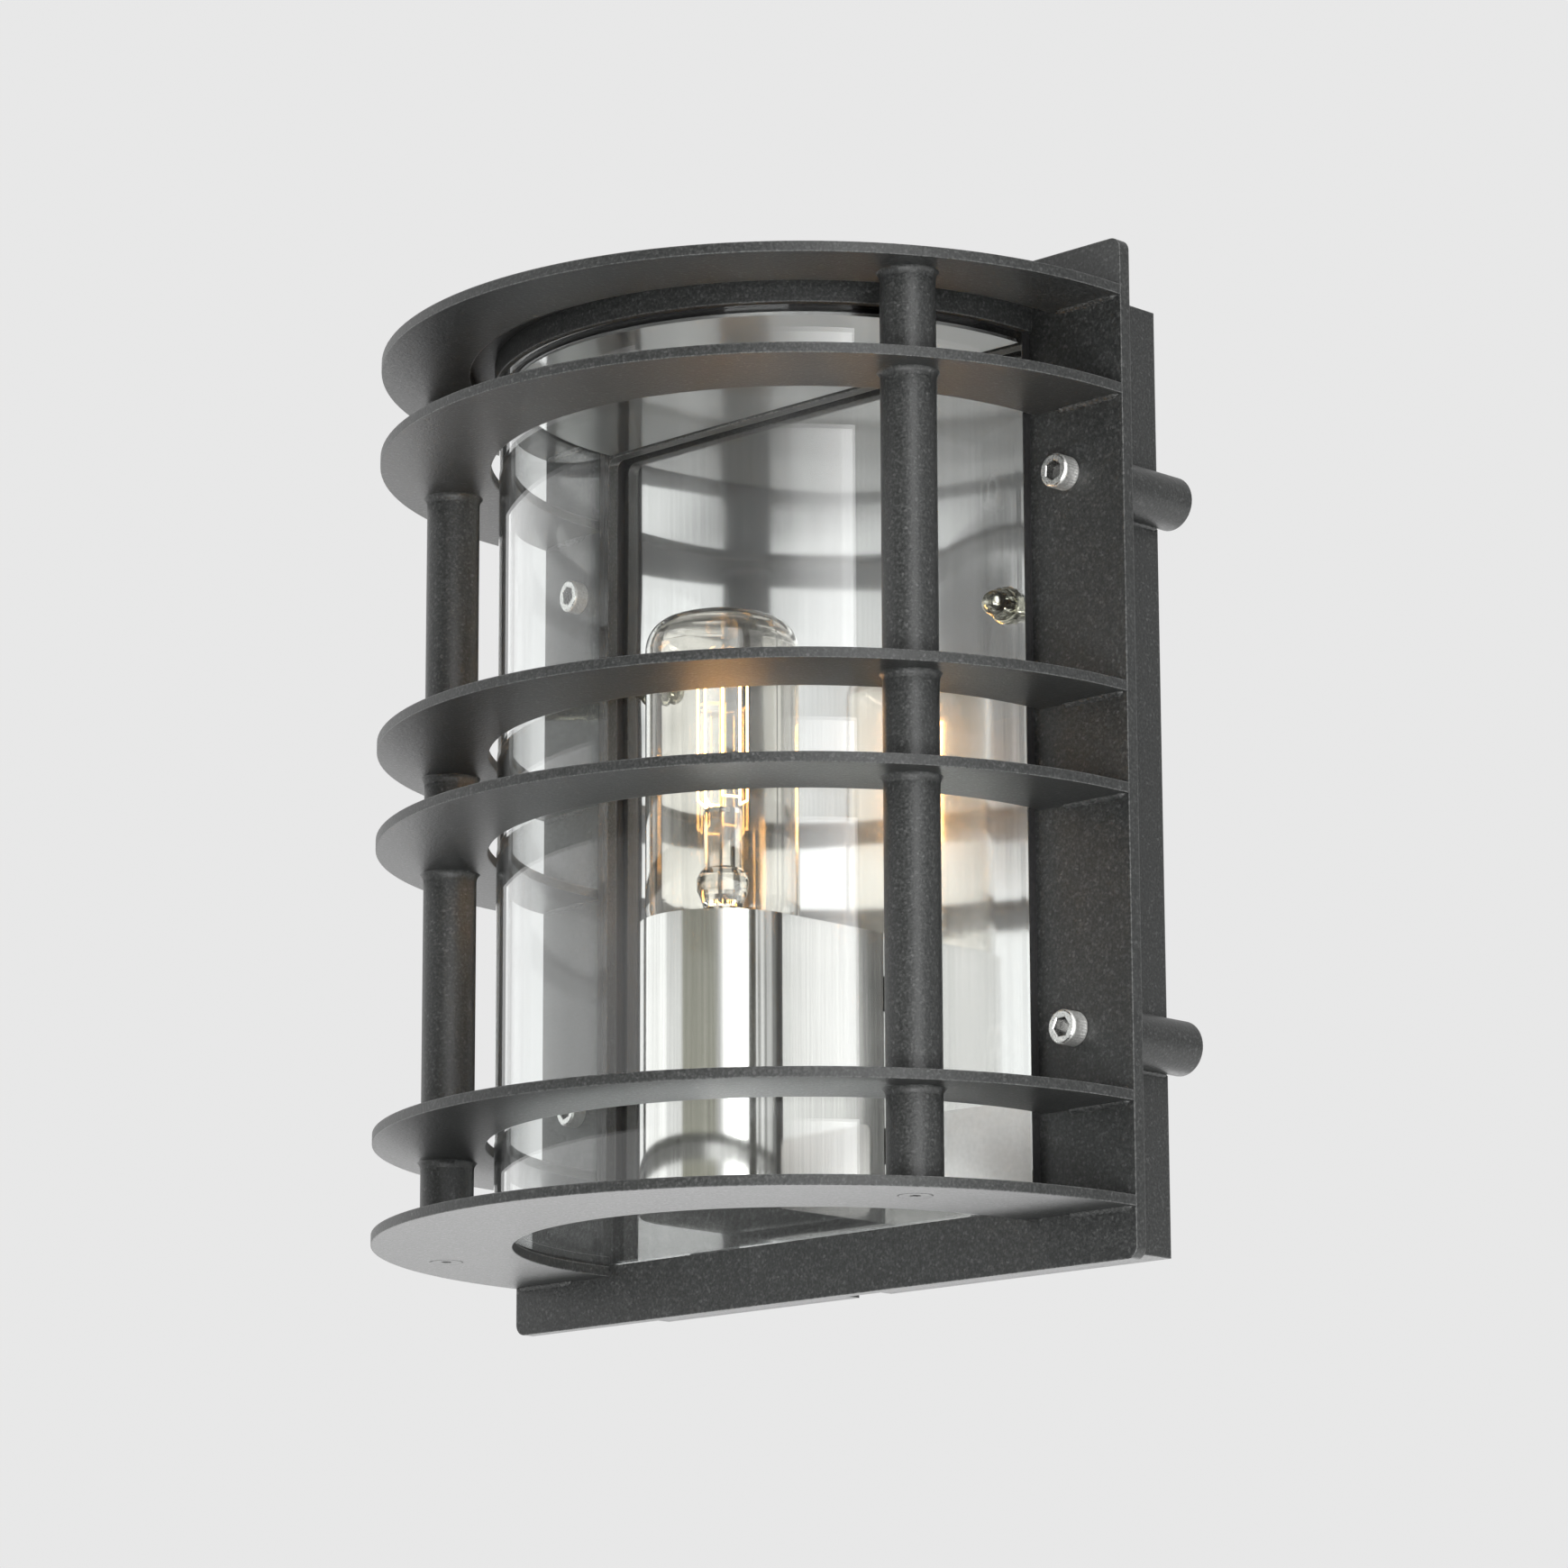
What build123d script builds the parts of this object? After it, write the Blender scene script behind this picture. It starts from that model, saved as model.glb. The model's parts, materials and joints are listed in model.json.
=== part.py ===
"""Flush wall light: welded cage of half rings over a half-round glass, on a shallow back box.

Millimetres. The wall plane is Y = 0 with +Y into the wall, +Z is up, Z = 0 is the plate's mid-height.
"""
from build123d import *
from math import cos, radians, sin, tan
import os

# Fits
fit = 0.3                        # between a round piece and its hole
over = 1.0                       # how far a cut runs past the face it opens
seal_thickness = 1.0

# Half-round glass
glass_radius = 89.5
glass_wall = 3.5
glass_inner = glass_radius - glass_wall

# Half rings and roof
ring_width = 33.0
ring_leg = 4.0                   # straight end of a ring, from the plate to its arc
ring_thickness = 3.0
pair_pitch = 117.0
pair_spacing = 29.5
glass_gap = 2.5                  # glass to the rings round it
top_step = 6.5                   # top ring's opening beyond the others'
bottom_seat = 5.5                # bottom ring's reach under the glass
lid_thickness = 3.0
lid_edge = 13.0                  # lid's edge inside the ring's
half_ring = ring_thickness / 2
ring_opening = glass_radius + glass_gap
ring_radius = ring_opening + ring_width
top_ring_opening = ring_opening + top_step
bottom_ring_opening = glass_radius - bottom_seat
lid_radius = ring_radius - lid_edge
ring_levels = [
    pair * pair_pitch + side * pair_spacing / 2
    for pair in (1, 0, -1)
    for side in (1, -1)
]
lid_bottom = ring_levels[0] + half_ring
floor_z = ring_levels[-1] + half_ring

# Cage plate, as wide as the rings
plate_thickness = 4.0
plate_corner = 3.5
plate_margin = 16.0              # plate's edge beyond the outermost rings
stand_off = 42.5                 # wall to the plate's rear face
plate_width = 2 * ring_radius
plate_height = 2 * (ring_levels[0] + plate_margin)
plate_rear = -stand_off
plate_front = plate_rear - plate_thickness
arc_y = plate_front - ring_leg

# Posts in the middle of the rings' width, with their weld collars and screws
post_radius = 8.0
post_angle = 29.3                # forward of the plate's plane, seen from the arc's centre
weld_width = 1.8
weld_height = 2.6
weld_hollow = 0.35               # how far up the hollow of the weld's face lies
post_screw_radius = 2.5
post_screw_head = 4.8
post_screw_depth = 14.0
post_screw_socket = 1.5          # across half flats
post_socket_depth = 1.4
post_tap_spare = 2.0             # tapped hole beyond the screw's end
post_circle = (ring_radius + ring_opening) / 2
post_x = post_circle * cos(radians(post_angle))
post_y = arc_y - post_circle * sin(radians(post_angle))

# Glass seats: pane on the bottom ring, seals, collar under the lid and the polished half disc in it
pane_thickness = 3.0
pane_edge = 1.5                  # pane's edge beyond the glass
collar_height = 7.0
collar_edge = 1.5                # collar's edge beyond the glass
mirror_thickness = 1.0
mirror_gap = 1.0                 # half disc to the glass round it
mirror_drop = 1.2                # below the top of the glass
spacer_radius = 5.0
spacer_x = 45.0
spacer_forward = 30.0
pane_radius = glass_radius + pane_edge
glass_back = plate_front - seal_thickness
glass_bottom = floor_z + pane_thickness + seal_thickness
collar_bottom = lid_bottom - collar_height
glass_top = collar_bottom - fit
mirror_radius = glass_inner - mirror_gap
mirror_top = glass_top - mirror_drop
mirror_bottom = mirror_top - mirror_thickness

# Window of the plate, inside the glass
window_corner = 3.0
window_step = 1.0                # window's side beyond the glass's inner face
window_sill = 0.5                # above the bottom ring
window_head = 0.5                # under the polished half disc
window_half_width = glass_inner + window_step
window_bottom = floor_z + window_sill
window_top = mirror_bottom - window_head

# Cap screws beside the glass, and the pillars that take them
head_radius = 5.0
head_height = 6.0
head_chamfer = 0.5
screw_gap = 9.0                  # glass to a screw's head
screw_below = 21.25              # under the second ring
screw_radius = 3.0
screw_length = 22.0
socket_half_flats = 2.5
socket_depth = 3.0
pillar_radius = 8.0
bore_spare = 2.0                 # pillar's bore beyond the screw's length
screw_x = glass_radius + screw_gap + head_radius
screw_z = ring_levels[1] - screw_below
pillar_bore_depth = screw_length + bore_spare

# Reflector
reflector_thickness = 1.0
reflector_gap = 1.5              # reflector to the pillars beside it
gasket_thickness = 2.5
gasket_margin = 2.0              # clear of the window's edge
nut_inset = 14.0                 # from the window's side
nut_z = 48.25
stud_radius = 2.5
sleeve_radius = 5.0
stud_proud = 4.0
washer_radius = 5.5
washer_thickness = 1.0
nut_half_flats = 4.0
nut_height = 4.0
dome_radius = 3.8
nut_x = window_half_width - nut_inset
reflector_half_width = screw_x - pillar_radius - reflector_gap
reflector_front = plate_rear + gasket_thickness
reflector_rear = reflector_front + reflector_thickness

# Back box on four feet
box_side_inset = 2.0             # box's side inside the pillars' axes
box_top_inset = 8.65             # box's top under the plate's
box_bottom_inset = 6.0           # box's bottom above the plate's
reflector_end = 3.0              # reflector's ends inside the box's
box_rear_gap = 4.0               # wall to the box's rear face
box_sheet = 1.5
flange_width = 12.0
cable_notch_x = (-20.5, -7.5)
cable_notch_depth = 12.0
cable_notch_rise = 3.0
foot_radius = 8.0
wall_hole_radius = 3.25
wall_hole_side = 31.5            # in from the box's side
wall_hole_end = 27.1             # under the box's top
grommet_z = 20.0
grommet_bore = 5.0
grommet_neck = 10.0
grommet_flange = 13.0
grommet_lip = 2.0
box_half_width = screw_x - box_side_inset
box_low = -plate_height / 2 + box_bottom_inset
box_high = plate_height / 2 - box_top_inset
reflector_z = (box_low + reflector_end, box_high - reflector_end)
wall_hole_x = box_half_width - wall_hole_side
wall_hole_z = box_high - wall_hole_end
box_rear = -box_rear_gap
panel_front = box_rear - box_sheet

# Lampholder cover, standing just above the glass's foot
bulb_forward = 36.0              # lamp's axis in front of the plate's front face
bulb_radius = 22.5
cover_gap = 1.5                  # cover's radius beyond the bulb's
cover_sheet = 0.8
cover_clear = 1.5                # above the glass's foot
cover_height = 83.0
tab_half_height = 5.0
tab_reach = 2.0
lower_tab_rise = 19.75
upper_tab_drop = 18.25
bulb_y = plate_front - bulb_forward
cover_radius = bulb_radius + cover_gap
cover_floor = glass_bottom + cover_clear
cover_rim = cover_floor + cover_height
tab_z = (cover_floor + lower_tab_rise, cover_rim - upper_tab_drop)

# Lampholder on its bracket
cap_radius = 13.1
cap_gap = 0.4                    # bulb's cap to the screw shell
shell_wall = 0.9
shell_drop = 2.0                 # under the holder's rim
holder_rise = 24.75              # above the cover's floor
holder_height = 49.0
holder_radius = 19.5
holder_waist = 17.5
holder_rim = 6.0
holder_taper = 2.0
holder_ledge_rise = 24.0
holder_ledge_depth = 3.0
holder_ledge_bore = 11.5
leaf_radius = 4.0
leaf_thickness = 1.0
bracket_half_width = 14.0
bracket_sheet = 2.0
bracket_front = 14.0             # in front of the bulb's axis
bracket_hole = 7.5
bracket_head = 8.0               # above the rivets
rivet_x = 8.0
rivet_rise = 14.0                # above the bracket's foot
rivet_radius = 2.0
rivet_head = 3.5
rivet_head_height = 1.2
holder_screw_x = 11.0
holder_screw_radius = 1.5
holder_screw_head = 2.6
holder_screw_depth = 8.0
holder_bore = cap_radius + cap_gap + shell_wall + fit
holder_bottom = cover_floor + holder_rise
holder_top = holder_bottom + holder_height
holder_ledge_z = holder_bottom + holder_ledge_rise
holder_floor_z = holder_ledge_z - holder_ledge_depth
shell_top = holder_top - shell_drop
rivet_z = holder_bottom + rivet_rise
bracket_top = rivet_z + bracket_head

# Bulb, its contact just above the holder's
cap_height = 23.0
cap_wall = 0.5
cone_radius = 5.0
cone_height = 2.4
contact_radius = 4.5
contact_height = 0.9
contact_gap = 0.2
bulb_wall = 1.0
bulb_length = 88.5               # shoulder to top
dome_corner = 10.0
crown_angle = 18.0
neck_radius = 13.6
neck_rise = 4.0                  # above the cap
neck_tail = 2.5                  # inside the cap
shoulder_rise = 10.75            # neck to shoulder
shoulder_bulge = 2.0
shoulder_sag = 1.8
stem_bead_radius = 7.5           # glass bead at the foot of the stem
stem_bead_rise = 2.75            # above the shoulder
stem_bead_height = 7.5
stem_bead_round = 1.0
stem_radius = 5.5
stem_rise = 28.75                # above the shoulder
stem_flare_height = 2.0
stem_neck_drop = 3.0             # under the bead
strand_count = 8
strand_circle = 7.2
strand_radius = 0.35
strand_rise = 3.0                # above the stem
strand_length = 38.0
root_share = 0.6                 # of the strands' circle, where the leads leave the stem
support_radius = 0.8
spoke_radius = 0.3
spoke_drop = 2.0
contact_bottom = holder_floor_z + leaf_thickness + contact_gap
cap_bottom = contact_bottom + contact_height + cone_height
cap_top = cap_bottom + cap_height
neck_z = cap_top + neck_rise
neck_tail_z = cap_top - neck_tail
neck_tail_radius = cap_radius - cap_wall - fit
shoulder_z = neck_z + shoulder_rise
bulb_top = shoulder_z + bulb_length
stem_flare = neck_tail_radius - bulb_wall - fit
stem_top = shoulder_z + stem_rise
strand_z = (stem_top + strand_rise, stem_top + strand_rise + strand_length)

# Wiring
wire_radius = 1.2
wire_bend = 6.0
wire_x = 3.0
wire_hole_rise = 12.75           # above the cover's floor
wire_tail = 4.0                  # inside the lampholder and the terminals
wire_drop = 26.0                 # straight run down from a terminal
bushing_bore = 5.0
bushing_neck = 6.7
bushing_flange = 9.0
bushing_lip = 1.2
block_half_width = 18.0
block_depth = 18.0
block_height = 18.0
block_rise = 43.0                # above the wires' hole
pole_pitch = 11.0
terminal_screw_radius = 2.5
terminal_screw_height = 5.0
terminal_screw_sink = 1.0
earth_x = 45.0
earth_boss_radius = 4.0
earth_stud_radius = 2.0
earth_stud_length = 7.0
earth_nut_half_flats = 3.5
earth_nut_height = 3.2
earth_turn_drop = 10.0           # wire's turn under the lug
lug_radius = 4.5
lug_thickness = 1.0
lug_barrel_radius = 2.0
lug_barrel_drop = 6.0
lug_barrel_length = 8.0
wire_hole_z = cover_floor + wire_hole_rise
block_z = (wire_hole_z + block_rise, wire_hole_z + block_rise + block_height)
terminal_y = panel_front - block_depth / 2
earth_z = sum(block_z) / 2
lug_barrel_z = (earth_z - lug_barrel_drop - lug_barrel_length, earth_z - lug_barrel_drop)
earth_turn_z = lug_barrel_z[0] - earth_turn_drop

corners = [(x, z) for x in (-1, 1) for z in (-1, 1)]


def block(x, y, z):
    """Box between two limits on each axis."""
    centre = [(low + high) / 2 for low, high in (x, y, z)]
    size = [high - low for low, high in (x, y, z)]
    return Pos(*centre) * Box(*size)


def rod_z(x, y, low, high, radius):
    return Pos(x, y, low) * Cylinder(radius, high - low, align=(Align.CENTER, Align.CENTER, Align.MIN))


def along_y(x, y, z):
    """Place a piece made along +Z so that it runs along +Y from the given point."""
    return Pos(x, y, z) * Rot(-90, 0, 0)


def rod_y(x, z, front, rear, radius):
    return along_y(x, front, z) * Cylinder(
        radius, rear - front, align=(Align.CENTER, Align.CENTER, Align.MIN)
    )


def hexagon(half_flats, low, high):
    flats = RegularPolygon(half_flats, 6, major_radius=False)
    return extrude(Pos(0, 0, low) * flats, high - low, dir=(0, 0, 1))


def turned(*points):
    """Solid of revolution about Z from (radius, height) points."""
    outline = Polyline(*points, close=True)
    return revolve(Plane.XZ * make_face(outline), Axis.Z)


def half_round(radius, centre_y, back, low, high):
    """Upright half cylinder with straight sides that run back to a flat rear face."""
    sides = Polyline((-radius, centre_y), (-radius, back), (radius, back), (radius, centre_y))
    arc = ThreePointArc((radius, centre_y), (0, centre_y - radius), (-radius, centre_y))
    plan = make_face(Curve() + [sides, arc])
    return extrude(Pos(0, 0, low) * plan, high - low, dir=(0, 0, 1))


def group(shapes):
    """Separate solids held in one node."""
    return Compound([shape.solid() for shape in shapes])


def tube_path(points):
    """Round wire along a line with rounded corners."""
    path = FilletPolyline(*points, radius=wire_bend)
    return sweep(Plane(path @ 0, z_dir=path % 0) * Circle(wire_radius), path=path)


# Cage plate
def make_cage_plate():
    plate = block(
        (-plate_width / 2, plate_width / 2),
        (plate_front, plate_rear),
        (-plate_height / 2, plate_height / 2),
    )
    plate = fillet(plate.edges().filter_by(Axis.Y), plate_corner)
    window = block(
        (-window_half_width, window_half_width),
        (plate_front - over, plate_rear + over),
        (window_bottom, window_top),
    )
    window = fillet(window.edges().filter_by(Axis.Y), window_corner)
    holes = [
        rod_y(x * screw_x, z * screw_z, plate_front - over, plate_rear + over, screw_radius + fit)
        for x, z in corners
    ]
    return plate - window - holes


# Half rings
def make_ring(level, opening):
    low = level - half_ring
    high = level + half_ring
    ring = half_round(ring_radius, arc_y, plate_front, low, high)
    return ring - half_round(opening, arc_y, plate_front + over, low - over, high + over)


def make_threaded_ring(level):
    """Ring with a hole for each post."""
    holes = [
        rod_z(side * post_x, post_y, level - ring_thickness, level + ring_thickness, post_radius + fit)
        for side in (-1, 1)
    ]
    return make_ring(level, ring_opening) - holes


def make_bottom_ring():
    ring = make_ring(ring_levels[-1], bottom_ring_opening)
    low = ring_levels[-1] - half_ring
    sink_depth = post_screw_head - post_screw_radius
    for side in (-1, 1):
        sink = turned(
            (0, low - over),
            (post_screw_head + fit + over, low - over),
            (post_screw_radius + fit, low + sink_depth),
            (post_screw_radius + fit, low + ring_thickness + over),
            (0, low + ring_thickness + over),
        )
        ring -= Pos(side * post_x, post_y, 0) * sink
    return ring


def make_roof_lid():
    return half_round(lid_radius, arc_y, plate_front, lid_bottom, lid_bottom + lid_thickness)


# Posts
def make_post(side):
    post = rod_z(side * post_x, post_y, floor_z, ring_levels[0] - half_ring, post_radius)
    tapped = floor_z + post_screw_depth + post_tap_spare
    return post - rod_z(side * post_x, post_y, floor_z - over, tapped, post_screw_radius + fit)


def make_post_welds():
    inner = post_radius + fit / 2
    outer = post_radius + weld_width
    welds = []
    for level in ring_levels[:-1]:
        under = level - half_ring
        collar = turned(
            (inner, under - weld_height),
            (inner, under),
            (outer, under),
            (inner + weld_width * weld_hollow, under - weld_height * weld_hollow),
        )
        welds += [Pos(side * post_x, post_y, 0) * collar for side in (-1, 1)]
    return group(welds)


def make_post_screws():
    low = ring_levels[-1] - half_ring
    shank_start = low + post_screw_head - post_screw_radius
    screw = turned(
        (0, low),
        (post_screw_head, low),
        (post_screw_radius, shank_start),
        (post_screw_radius, floor_z + post_screw_depth),
        (0, floor_z + post_screw_depth),
    )
    screw -= hexagon(post_screw_socket, low - over, low + post_socket_depth)
    return group([Pos(side * post_x, post_y, 0) * screw for side in (-1, 1)])


# Glass and what seals it
def make_glass_wall(low, high, outer, inner):
    wall = half_round(outer, arc_y, glass_back, low, high)
    return wall - half_round(inner, arc_y, glass_back + over, low - over, high + over)


def make_edge_seals():
    strips = []
    for side in (-1, 1):
        limits = sorted((side * window_half_width, side * (glass_radius + fit)))
        strips.append(block(limits, (glass_back + fit, plate_front), (glass_bottom, glass_top)))
    return group(strips)


def make_top_collar():
    """Painted band that hangs under the lid round the glass's top edge."""
    band = half_round(glass_radius + collar_edge, arc_y, plate_front, collar_bottom, lid_bottom)
    return band - half_round(glass_inner, arc_y, plate_front + over, collar_bottom - over, lid_bottom + over)


def make_floor_pane():
    return half_round(pane_radius, arc_y, glass_back, floor_z, floor_z + pane_thickness)


def make_top_reflector():
    return half_round(mirror_radius, arc_y, glass_back, mirror_top - mirror_thickness, mirror_top)


def make_top_spacers():
    return group([
        rod_z(side * spacer_x, arc_y - spacer_forward, mirror_top, lid_bottom, spacer_radius)
        for side in (-1, 1)
    ])


def make_plate_gasket():
    sheet = (plate_rear, reflector_front)
    outer = block(
        (-reflector_half_width, reflector_half_width),
        sheet,
        reflector_z,
    )
    inner_half = window_half_width + gasket_margin
    inner = block(
        (-inner_half, inner_half),
        (sheet[0] - over, sheet[1] + over),
        (window_bottom - gasket_margin, window_top + gasket_margin),
    )
    return outer - inner


# Cap screws and the pillars that take them
def make_cap_screws():
    head = turned(
        (0, -head_height),
        (head_radius - head_chamfer, -head_height),
        (head_radius, -head_height + head_chamfer),
        (head_radius, 0),
        (screw_radius, 0),
        (screw_radius, screw_length),
        (0, screw_length),
    )
    head -= hexagon(socket_half_flats, -head_height - over, -head_height + socket_depth)
    return group([along_y(x * screw_x, plate_front, z * screw_z) * head for x, z in corners])


def make_pillars():
    pillars = []
    for x, z in corners:
        pillar = rod_y(x * screw_x, z * screw_z, plate_rear, 0, pillar_radius)
        bore_end = plate_rear + pillar_bore_depth
        bore = rod_y(x * screw_x, z * screw_z, plate_rear - over, bore_end, screw_radius + fit)
        pillars.append(pillar - bore)
    return group(pillars)


# Back box: folded sheet with a flange round its front, notches for the pillars and feet at its wall holes
def make_back_box():
    inner_x = box_half_width - box_sheet
    inner_z = (box_low + box_sheet, box_high - box_sheet)
    mouth_x = box_half_width - flange_width
    mouth_z = (box_low + flange_width, box_high - flange_width)
    shell = block((-box_half_width, box_half_width), (reflector_rear, box_rear), (box_low, box_high))
    shell -= block((-inner_x, inner_x), (reflector_rear + box_sheet, panel_front), inner_z)
    shell -= block((-mouth_x, mouth_x), (reflector_rear - over, panel_front), mouth_z)
    for x, z in corners:
        shell -= rod_y(x * screw_x, z * screw_z, reflector_rear - over, 0, pillar_radius + fit)
        shell += rod_y(x * wall_hole_x, z * wall_hole_z, panel_front, 0, foot_radius)
        shell -= rod_y(x * wall_hole_x, z * wall_hole_z, panel_front - over, over, wall_hole_radius)
    shell -= rod_y(0, grommet_z, panel_front - over, 0, grommet_neck + fit)
    return shell - block(
        cable_notch_x,
        (box_rear - cable_notch_depth, 0),
        (box_low - over, box_low + cable_notch_rise),
    )


def make_flanged_ring(bore, neck, flange, lip, sheet):
    """Rubber ring in a sheet that lies from 0 to the given thickness."""
    return turned(
        (bore, -lip),
        (flange, -lip),
        (flange, 0),
        (neck, 0),
        (neck, sheet),
        (flange, sheet),
        (flange, sheet + lip),
        (bore, sheet + lip),
    )


def make_cable_grommet():
    ring = make_flanged_ring(grommet_bore, grommet_neck, grommet_flange, grommet_lip, box_sheet)
    return along_y(0, panel_front, grommet_z) * ring


# Reflector with the studs and nuts that hold it
def make_reflector():
    sheet = block(
        (-reflector_half_width, reflector_half_width),
        (reflector_front, reflector_rear),
        reflector_z,
    )
    through = (reflector_front - over, reflector_rear + over)
    for side in (-1, 1):
        sheet -= rod_y(side * nut_x, nut_z, *through, stud_radius + fit)
        sheet -= rod_y(side * rivet_x, rivet_z, *through, rivet_radius + fit)
        slot = sorted((side * (cover_radius + fit), side * (cover_radius - cover_sheet - fit)))
        for z in tab_z:
            sheet -= block(slot, through, (z - tab_half_height - fit, z + tab_half_height + fit))
    return sheet - rod_y(0, wire_hole_z, *through, bushing_neck + fit)


def make_reflector_studs():
    studs = []
    for side in (-1, 1):
        stud = rod_y(side * nut_x, nut_z, reflector_front - stud_proud, panel_front, stud_radius)
        stud += rod_y(side * nut_x, nut_z, reflector_rear, panel_front, sleeve_radius)
        studs.append(stud)
    return group(studs)


def make_reflector_nuts():
    nut = hexagon(nut_half_flats, -washer_thickness - nut_height, -washer_thickness)
    nut += Pos(0, 0, -washer_thickness) * Cylinder(
        washer_radius, washer_thickness, align=(Align.CENTER, Align.CENTER, Align.MIN)
    )
    nut += Pos(0, 0, -washer_thickness - nut_height) * Sphere(dome_radius)
    nut -= Pos(0, 0, -stud_proud - fit) * Cylinder(
        stud_radius + fit, stud_proud + over, align=(Align.CENTER, Align.CENTER, Align.MIN)
    )
    return group([along_y(side * nut_x, reflector_front, nut_z) * nut for side in (-1, 1)])


# Lampholder cover: half-round front, flat sides, floor, and tabs through the reflector
def make_holder_cover():
    cover = half_round(cover_radius, bulb_y, reflector_front, cover_floor, cover_rim)
    inner_radius = cover_radius - cover_sheet
    inside = (cover_floor + cover_sheet, cover_rim + over)
    cover -= half_round(inner_radius, bulb_y, reflector_front + over, *inside)
    for side in (-1, 1):
        across = sorted((side * cover_radius, side * inner_radius))
        for z in tab_z:
            cover += block(
                across,
                (reflector_front - over, reflector_rear + tab_reach),
                (z - tab_half_height, z + tab_half_height),
            )
    return cover


def make_holder_bracket():
    across = (-bracket_half_width, bracket_half_width)
    foot = (holder_bottom - bracket_sheet, holder_bottom)
    bracket = block(across, (bulb_y - bracket_front, reflector_front), foot)
    bracket += block(across, (reflector_front - bracket_sheet, reflector_front), (foot[0], bracket_top))
    cut = (foot[0] - over, foot[1] + over)
    bracket -= rod_z(0, bulb_y, *cut, bracket_hole)
    for side in (-1, 1):
        bracket -= rod_z(side * holder_screw_x, bulb_y, *cut, holder_screw_radius + fit)
        bracket -= rod_y(
            side * rivet_x,
            rivet_z,
            reflector_front - bracket_sheet - over,
            reflector_front + over,
            rivet_radius + fit,
        )
    return bracket


def make_bracket_rivets():
    rivets = []
    front = reflector_front - bracket_sheet
    tail = reflector_rear + rivet_head_height
    for side in (-1, 1):
        rivet = rod_y(side * rivet_x, rivet_z, front, reflector_rear, rivet_radius)
        rivet += rod_y(side * rivet_x, rivet_z, front - rivet_head_height, front, rivet_head)
        rivet += rod_y(side * rivet_x, rivet_z, reflector_rear, tail, rivet_head)
        rivets.append(rivet)
    return group(rivets)


def make_lampholder_body():
    body = turned(
        (0, holder_bottom),
        (holder_radius, holder_bottom),
        (holder_radius, holder_ledge_z),
        (holder_waist, holder_ledge_z + holder_taper),
        (holder_waist, holder_top - holder_rim - holder_taper),
        (holder_radius, holder_top - holder_rim),
        (holder_radius, holder_top),
        (holder_bore, holder_top),
        (holder_bore, holder_ledge_z),
        (holder_ledge_bore, holder_ledge_z),
        (holder_ledge_bore, holder_floor_z),
        (0, holder_floor_z),
    )
    body = Pos(0, bulb_y, 0) * body
    for side in (-1, 1):
        body -= rod_z(
            side * wire_x, bulb_y, holder_bottom - over, holder_bottom + wire_tail + over, wire_radius + fit
        )
        body -= rod_z(
            side * holder_screw_x,
            bulb_y,
            holder_bottom - over,
            holder_bottom + holder_screw_depth + over,
            holder_screw_radius + fit,
        )
    return body


def make_lampholder_shell():
    outer = holder_bore - fit
    shell = rod_z(0, bulb_y, holder_ledge_z, shell_top, outer)
    return shell - rod_z(0, bulb_y, holder_ledge_z - over, shell_top + over, outer - shell_wall)


def make_lampholder_contact():
    return rod_z(0, bulb_y, holder_floor_z, holder_floor_z + leaf_thickness, leaf_radius)


def make_holder_screws():
    screws = []
    low = holder_bottom - bracket_sheet
    high = holder_bottom + holder_screw_depth
    for side in (-1, 1):
        screw = rod_z(side * holder_screw_x, bulb_y, low, high, holder_screw_radius)
        screw += rod_z(side * holder_screw_x, bulb_y, low - holder_screw_radius, low, holder_screw_head)
        screws.append(screw)
    return group(screws)


# Bulb
def bulb_form(inset, tail_low):
    """Solid inside the envelope's surface, moved inwards by the inset."""
    side = bulb_radius - inset
    corner = dome_corner - inset
    tilt = radians(crown_angle)
    centre_r = bulb_radius - dome_corner
    crown_radius = centre_r / sin(tilt) + dome_corner
    crown_z = bulb_top - crown_radius
    centre_z = crown_z + centre_r / tan(tilt)

    def on_corner(angle):
        return (centre_r + corner * sin(angle), centre_z + corner * cos(angle))

    def on_crown(angle):
        reach = crown_radius - inset
        return (reach * sin(angle), crown_z + reach * cos(angle))

    neck = neck_radius - inset
    tail = neck_tail_radius - inset
    bend = ((side + neck) / 2 + shoulder_bulge, (shoulder_z + neck_z) / 2 - shoulder_sag)
    edges = [
        Line((0, tail_low), (tail, tail_low)),
        Line((tail, tail_low), (tail, cap_top + over)),
        Line((tail, cap_top + over), (neck, neck_z)),
        ThreePointArc((neck, neck_z), bend, (side, shoulder_z)),
        Line((side, shoulder_z), (side, centre_z)),
        ThreePointArc((side, centre_z), on_corner((tilt + radians(90)) / 2), on_corner(tilt)),
        ThreePointArc(on_corner(tilt), on_crown(tilt / 2), on_crown(0)),
        Line(on_crown(0), (0, tail_low)),
    ]
    return revolve(Plane.XZ * make_face(Curve() + edges), Axis.Z)


def make_bulb_glass():
    return Pos(0, bulb_y, 0) * (bulb_form(0, neck_tail_z) - bulb_form(bulb_wall, neck_tail_z - over))


def make_bulb_cap():
    inner = cap_radius - cap_wall
    cap = turned(
        (inner, cap_top),
        (cap_radius, cap_top),
        (cap_radius, cap_bottom),
        (cone_radius, cap_bottom),
        (cone_radius, cap_bottom + cap_wall),
        (inner, cap_bottom + cap_wall),
    )
    return Pos(0, bulb_y, 0) * cap


def make_bulb_insulator():
    cone = turned(
        (0, cap_bottom),
        (cap_radius - cap_wall, cap_bottom),
        (cone_radius, cap_bottom - cone_height),
        (0, cap_bottom - cone_height),
    )
    return Pos(0, bulb_y, 0) * cone


def make_bulb_contact():
    top = cap_bottom - cone_height
    return rod_z(0, bulb_y, top - contact_height, top, contact_radius)


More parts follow.
